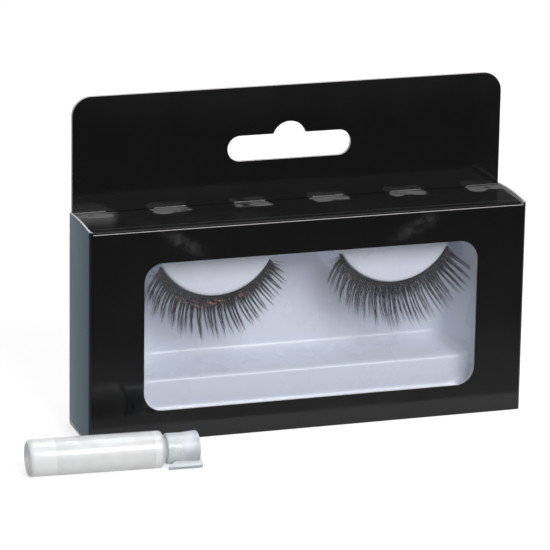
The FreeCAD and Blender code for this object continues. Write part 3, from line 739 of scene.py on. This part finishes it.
pull = next(joint for joint in frame["joints"] if joint["name"] == "stopper_pull")
vial_axis = Vector(pull["axis"]).normalized()
tube_points = [vertex.co for vertex in nodes["vial_tube"].data.vertices]
closed_end = min(point.dot(vial_axis) for point in tube_points)
end_face = [point for point in tube_points if point.dot(vial_axis) - closed_end < SAME_PLACE]
tube_low, tube_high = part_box("vial_tube")
vial_radius = (tube_high.z - tube_low.z) / 2
vial_start = sum(end_face, Vector()) / len(end_face)
vial_start.z = tube_low.z + vial_radius
vial_up = Vector((0, 0, 1))
vial_front = vial_axis.cross(vial_up)


def on_vial(along, out, turn):
    """A point by its distance from the closed end, its radius, and its turn from the top to the front."""
    return vial_start + vial_axis * along + (vial_up * math.cos(turn) + vial_front * math.sin(turn)) * out


def corner_arc(before, corner, after, rounding):
    arriving = (before - corner).normalized()
    leaving = (after - corner).normalized()
    half = arriving.angle(leaving) / 2
    centre = corner + (arriving + leaving).normalized() * (rounding / math.sin(half))
    start = corner + arriving * (rounding / math.tan(half)) - centre
    turn = start.angle_signed(corner + leaving * (rounding / math.tan(half)) - centre)
    return [centre + Matrix.Rotation(-turn * i / ARC_STEPS, 2) @ start for i in range(ARC_STEPS + 1)]


def rounded_outline(corners):
    """Points along (along, radius, rounding) corners in millimetres, with each rounding drawn as an arc."""
    flat = [Vector((along, out)) * MM for along, out, rounding in corners]
    points = [flat[0]]
    for i in range(1, len(corners) - 1):
        rounding = corners[i][2] * MM
        if rounding:
            points.extend(corner_arc(flat[i - 1], flat[i], flat[i + 1], rounding))
        else:
            points.append(flat[i])
    return points + [flat[-1]]


def lathe(name, corners):
    """A closed solid turned about the vial's axis; the outline starts and ends on the axis."""
    drawn = bmesh.new()
    rings = []
    for point in rounded_outline(corners):
        if point.y < ON_AXIS:
            rings.append([drawn.verts.new(on_vial(point.x, 0, 0))])
        else:
            rings.append([drawn.verts.new(on_vial(point.x, point.y, 2 * math.pi * k / VIAL_STEPS))
                          for k in range(VIAL_STEPS)])
    for first, second in zip(rings, rings[1:]):
        for k in range(VIAL_STEPS):
            after = (k + 1) % VIAL_STEPS
            corners_of_face = [first[k % len(first)], first[after % len(first)],
                               second[after % len(second)], second[k % len(second)]]
            drawn.faces.new(list(dict.fromkeys(corners_of_face)))
    bmesh.ops.recalc_face_normals(drawn, faces=drawn.faces)
    return mesh_from(name, drawn)


def keep_sharp(mesh):
    smooth(mesh)
    mesh.set_sharp_from_angle(angle=SHARP)
    return mesh


# Vial materials

PLASTIC_CLOUD = 2.2 * MM
PLASTIC_DEPTH = 0.02 * MM
GLUE_CLOUD = 6 * MM
LABEL_CLOUD = 3 * MM


def clear_plastic(name, colour, roughness, transmission, haze, ripple):
    shader = Shader(name, Transmission_Weight=transmission, IOR=1.47)
    cloud = shader.noise(shader.place(), PLASTIC_CLOUD, 3.0)
    pale = tuple(0.5 + 0.5 * part for part in colour)
    shader.set("Base Color", shader.mix(cloud, colour, pale))
    shader.set("Roughness", shader.span(cloud, 0.3, 0.7, roughness, roughness + haze))
    shader.set("Normal", shader.bump(cloud, PLASTIC_DEPTH, ripple))
    return shader.material


def adhesive_white():
    shader = Shader("adhesive_white", Roughness=0.35)
    cloud = shader.noise(shader.place(), GLUE_CLOUD, 2.0)
    shader.set("Base Color", shader.mix(cloud, (0.80, 0.79, 0.78, 1), (0.88, 0.87, 0.86, 1)))
    return shader.material


def label_film():
    """The clear sleeve, bare of print, a shade milkier than the vial."""
    shader = Shader("label_film", Roughness=0.25, IOR=1.46)
    cloud = shader.noise(shader.place(), LABEL_CLOUD, 3.0)
    shader.set("Base Color", shader.mix(cloud, (0.74, 0.76, 0.79, 1), (0.82, 0.83, 0.85, 1)))
    shader.set("Alpha", shader.span(cloud, 0.3, 0.7, 0.03, 0.06))
    return shader.material


# Vial tube and its filling, in millimetres along the axis from the closed end and out from it

TUBE_OUT = 4.5
TUBE_BORE = 4.15
TUBE_BASE = 0.45
FOOT_ROUND = 1.1
SHOULDER_OUT = 32.4
SHOULDER_IN = 32.0
NECK_FOOT_OUT = 33.5
NECK_FOOT_IN = 33.0
NECK_OUT = 3.0
NECK_BORE = 2.2
NECK_END = 37.6
GLUE_LAP = 0.02
GLUE_TOP = 34.5
ROD_RADIUS = 0.8
ROD_TIP = 11.7
ROD_PLAY = 0.1
CLEAR, FOOT = 0, 1
FOOT_FACING = 0.3


def vial_glass():
    """The clear tube; its closed end and the rounding of that end are frosted."""
    mesh = lathe("vial_glass", [
        (0, 0, 0), (0, TUBE_OUT, FOOT_ROUND), (SHOULDER_OUT, TUBE_OUT, 0.9), (NECK_FOOT_OUT, NECK_OUT, 0.3),
        (NECK_END, NECK_OUT, 0.2), (NECK_END, NECK_BORE, 0.2), (NECK_FOOT_IN, NECK_BORE, 0.3),
        (SHOULDER_IN, TUBE_BORE, 0.5), (TUBE_BASE, TUBE_BORE, 0.8), (TUBE_BASE, 0, 0)])
    for face in mesh.polygons:
        along = (face.center - vial_start).dot(vial_axis)
        at_foot = face.normal.dot(vial_axis) < -FOOT_FACING and along < FOOT_ROUND * MM
        face.material_index = FOOT if at_foot else CLEAR
    clear = clear_plastic("clear_vial", (0.92, 0.95, 0.97, 1),
                          roughness=0.08, transmission=1.0, haze=0.06, ripple=0.03)
    frosted = clear_plastic("vial_foot", (0.92, 0.95, 0.96, 1),
                            roughness=0.30, transmission=0.12, haze=0.06, ripple=0.0)
    new_piece("vial_glass", keep_sharp(mesh), "vial", [clear, frosted], ["vial_tube"])


def vial_glue():
    """The filling laps a little into the tube's wall and leaves a channel for the rod."""
    base = TUBE_BASE - GLUE_LAP
    out = TUBE_BORE + GLUE_LAP
    neck = NECK_BORE + GLUE_LAP
    hole = ROD_RADIUS + ROD_PLAY
    hole_end = ROD_TIP - ROD_PLAY
    mesh = lathe("vial_glue", [
        (base, 0, 0), (base, out, 0.82), (SHOULDER_IN, out, 0.5), (NECK_FOOT_IN, neck, 0.3),
        (GLUE_TOP, neck, 0.2), (GLUE_TOP, hole, 0.1), (hole_end, hole, 0.1), (hole_end, 0, 0)])
    new_piece("vial_glue", keep_sharp(mesh), "vial", [adhesive_white()], ["vial_adhesive"])


vial_glass()
vial_glue()


# Vial label

LABEL_START = 6.5 * MM
LABEL_END = 30.5 * MM
LABEL_FROM = math.radians(-140)
LABEL_TO = math.radians(167)
LABEL_ROWS = 12
LABEL_GAP = 0.015 * MM
LABEL_FILM = 0.06 * MM


def label_sleeve():
    points = []
    for row in range(LABEL_ROWS + 1):
        along = LABEL_START + (LABEL_END - LABEL_START) * row / LABEL_ROWS
        for k in range(VIAL_STEPS + 1):
            turn = LABEL_FROM + (LABEL_TO - LABEL_FROM) * k / VIAL_STEPS
            points.append(tuple(on_vial(along, vial_radius + LABEL_GAP, turn)))
    mesh = smooth(mesh_of("label_sleeve", points, grid_faces(LABEL_ROWS + 1, VIAL_STEPS + 1)))
    piece = new_piece("label_sleeve", mesh, "vial", [label_film()], ["vial_label"])
    thicken(piece, LABEL_FILM, 1)


label_sleeve()


# Vial cap with its rod and thumb tab

SKIRT, PLUG = 0, 1
CAP_START = 33.7
CAP_BORE = 3.1
CAP_OUT = 3.75
CAP_WAIST_AT = 37.4
CAP_WAIST = 3.70
CAP_CEILING = 37.7
CAP_END = 41.65
CAP_RIM = 4.05
TAB_TURN = math.radians(137.5)
TAB_HALF = 0.8 * MM
TAB_ROUND = 0.25 * MM
TAB_ROUND_STEPS = 3
TAB_OUTLINE = [(36.0, 3.3), (42.0, 3.3), (42.3, 5.0), (42.0, 5.3), (34.1, 5.3), (33.7, 5.0), (35.4, 3.7)]


def add_tab(drawn):
    """The thumb tab: a flat plate from the cap down to the table, its free edge longer than its root."""
    normal = on_vial(0, 1, TAB_TURN + math.pi / 2) - vial_start
    sides = []
    for sign in (-1, 1):
        sides.append([drawn.verts.new(on_vial(along * MM, out * MM, TAB_TURN) + normal * TAB_HALF * sign)
                      for along, out in TAB_OUTLINE])
    made = [drawn.faces.new(sides[0]), drawn.faces.new(list(reversed(sides[1])))]
    count = len(TAB_OUTLINE)
    for k in range(count):
        after = (k + 1) % count
        made.append(drawn.faces.new((sides[0][after], sides[0][k], sides[1][k], sides[1][after])))
    bmesh.ops.recalc_face_normals(drawn, faces=made)
    edges = list({edge for face in made for edge in face.edges})
    bmesh.ops.bevel(drawn, geom=edges, offset=TAB_ROUND, segments=TAB_ROUND_STEPS, profile=0.5,
                    affect="EDGES")


def vial_cap():
    """The clear skirt round the neck, the frosted plug above it, the rod and the tab."""
    mesh = lathe("vial_cap", [
        (ROD_TIP, 0, 0), (ROD_TIP, ROD_RADIUS, 0.3), (CAP_CEILING, ROD_RADIUS, 0.1),
        (CAP_CEILING, CAP_BORE, 0.2), (CAP_START, CAP_BORE, 0.15), (CAP_START, CAP_OUT, 0.25),
        (CAP_WAIST_AT, CAP_WAIST, 1.5), (CAP_END, CAP_RIM, 0.6), (CAP_END, 0, 0)])
    drawn = bmesh.new()
    drawn.from_mesh(mesh)
    add_tab(drawn)
    for face in drawn.faces:
        along = (face.calc_center_median() - vial_start).dot(vial_axis)
        face.material_index = SKIRT if along < CAP_CEILING * MM else PLUG
    drawn.to_mesh(mesh)
    drawn.free()
    clear = clear_plastic("cap_skirt", (0.85, 0.89, 0.91, 1),
                          roughness=0.26, transmission=0.48, haze=0.08, ripple=0.06)
    frosted = clear_plastic("cap_plug", (0.75, 0.80, 0.85, 1),
                            roughness=0.34, transmission=0.66, haze=0.12, ripple=0.06)
    new_piece("vial_cap", keep_sharp(mesh), "stopper", [clear, frosted], ["vial_stopper"])


vial_cap()


# Stage: floor and sky

FLOOR_HALF = 2.5
FLOOR_DROP = 0.02 * MM
FLOOR_GRAIN = 120 * MM
FLOOR_GLOW = 0.70
SKY_COLOUR = (0.97, 0.985, 1.0, 1)
AMBIENT = 0.24


def level_corners(left, right, front, back, height):
    return [(x, y, height) for x, y in ((left, front), (right, front), (right, back), (left, back))]


def pale_floor():
    """White floor: it keeps the shadow, and is lifted to white where it shows as the background."""
    shader = Shader("pale_floor", Roughness=0.9, Specular_IOR_Level=0.0, Emission_Color=(1, 1, 1, 1))
    grain = shader.noise(shader.place(), FLOOR_GRAIN, 2.0)
    shader.set("Base Color", shader.mix(grain, grey(0.48), grey(0.52)))
    shader.set("Emission Strength", shader.sums("MULTIPLY", shader.seen(), FLOOR_GLOW))
    return shader.material


floor_corners = level_corners(-FLOOR_HALF, FLOOR_HALF, -FLOOR_HALF, FLOOR_HALF, 0)
floor = in_scene("floor", mesh_of("floor", floor_corners, [(0, 1, 2, 3)]))
floor.data.materials.append(pale_floor())
floor.location.z = -FLOOR_DROP

sky = Sky("studio")
sky.set("Color", SKY_COLOUR)
sky.set("Strength", sky.span(sky.seen(), 0.0, 1.0, AMBIENT, 1.0))


# Stage: cards and lamps

CARD_HEIGHT = 0.03 * MM
CARD_FAR = 0.9
DARK_CARD_BACK = -0.022
BLUE_CARD_RIGHT = -0.0565
BLUE_CARD_FRONT = -0.012
BACK_CARD_LEFT = 0.058
BACK_CARD_RIGHT = 0.30
BACK_CARD_LOW = 0.045
BACK_CARD_HIGH = 0.16
BACK_CARD_Y = 0.06
ALONG_Y, ALONG_Z = 1, 2
UNSEEN_BY = ("camera", "diffuse", "transmission", "shadow", "volume_scatter")
LAMP_AIM = Vector((0, 0, 30 * MM))


def card(name, corners, axis, stops):
    """A studio card that only gloss sees, shaded along one of its axes."""
    shader = Shader(name, Specular_IOR_Level=0.0, Base_Color=(0, 0, 0, 1), Emission_Strength=1.0)
    reach = [corner[axis] for corner in corners]
    along = shader.axes(shader.place())[axis]
    ramp = shader.node("ShaderNodeValToRGB", {"Fac": shader.span(along, min(reach), max(reach))})
    while len(ramp.color_ramp.elements) < len(stops):
        ramp.color_ramp.elements.new(1.0)
    for element, (where, colour) in zip(ramp.color_ramp.elements, stops):
        element.position = where
        element.color = colour
    shader.set("Emission Color", ramp.outputs["Color"])
    piece = in_scene(name, mesh_of(name, corners, [(0, 1, 2, 3)]))
    piece.data.materials.append(shader.material)
    for ray in UNSEEN_BY:
        setattr(piece, f"visible_{ray}", False)


def standing_corners(left, right, low, high, y):
    return [(x, y, z) for x, z in ((left, low), (right, low), (right, high), (left, high))]


card("dark_card", level_corners(-CARD_FAR, CARD_FAR, -CARD_FAR, DARK_CARD_BACK, CARD_HEIGHT), ALONG_Y,
     [(0.0, grey(0.30)), (0.72, grey(0.26)), (0.82, grey(0.10)),
      (0.93, grey(0.16)), (0.985, grey(0.22)), (1.0, grey(0.50))])
card("blue_card", level_corners(-CARD_FAR, BLUE_CARD_RIGHT, BLUE_CARD_FRONT, CARD_FAR, CARD_HEIGHT), ALONG_Y,
     [(0.0, (0.40, 0.52, 0.58, 1)), (1.0, (0.36, 0.50, 0.57, 1))])
card("back_card",
     standing_corners(BACK_CARD_LEFT, BACK_CARD_RIGHT, BACK_CARD_LOW, BACK_CARD_HIGH, BACK_CARD_Y), ALONG_Z,
     [(0.0, grey(0.10)), (1.0, grey(0.06))])


def softbox(name, direction, distance, width, watts):
    lamp = bpy.data.lights.new(name, "AREA")
    lamp.shape = "SQUARE"
    lamp.size = width
    lamp.energy = watts
    holder = in_scene(name, lamp)
    holder.location = LAMP_AIM + direction.normalized() * distance
    holder.rotation_euler = (-direction).to_track_quat("-Z", "Y").to_euler()


softbox("key", Vector((0.16, -0.80, 0.57)), distance=0.9, width=0.42, watts=5.6)
softbox("top", Vector((0.1, 0.15, 1.0)), distance=1.0, width=0.6, watts=4.0)


# Camera, from a pinhole fit to the carton's corners in the photograph

FRAME_PIXELS = 550
FOCAL_PIXELS = 3903
SENSOR = 36.0
YAW = math.radians(18.02)
PITCH = math.radians(16.55)
ROLL = math.radians(0.92)
CAMERA_PLACE = Vector((-291.13, -876.24, 310.82)) * MM

right = Vector((math.cos(YAW), -math.sin(YAW), 0))
forward = Vector((math.sin(YAW) * math.cos(PITCH), math.cos(YAW) * math.cos(PITCH), -math.sin(PITCH)))
upward = right.cross(forward)
level_right = right * math.cos(ROLL) + upward * math.sin(ROLL)
level_up = upward * math.cos(ROLL) - right * math.sin(ROLL)
camera_data = bpy.data.cameras.new("camera")
camera_data.sensor_width = SENSOR
camera_data.lens = FOCAL_PIXELS / FRAME_PIXELS * SENSOR
camera = in_scene("camera", camera_data)
turned = Matrix((level_right, level_up, -forward)).transposed().to_4x4()
camera.matrix_world = Matrix.Translation(CAMERA_PLACE) @ turned
bpy.context.scene.camera = camera
bpy.context.scene.view_settings.view_transform = "Standard"
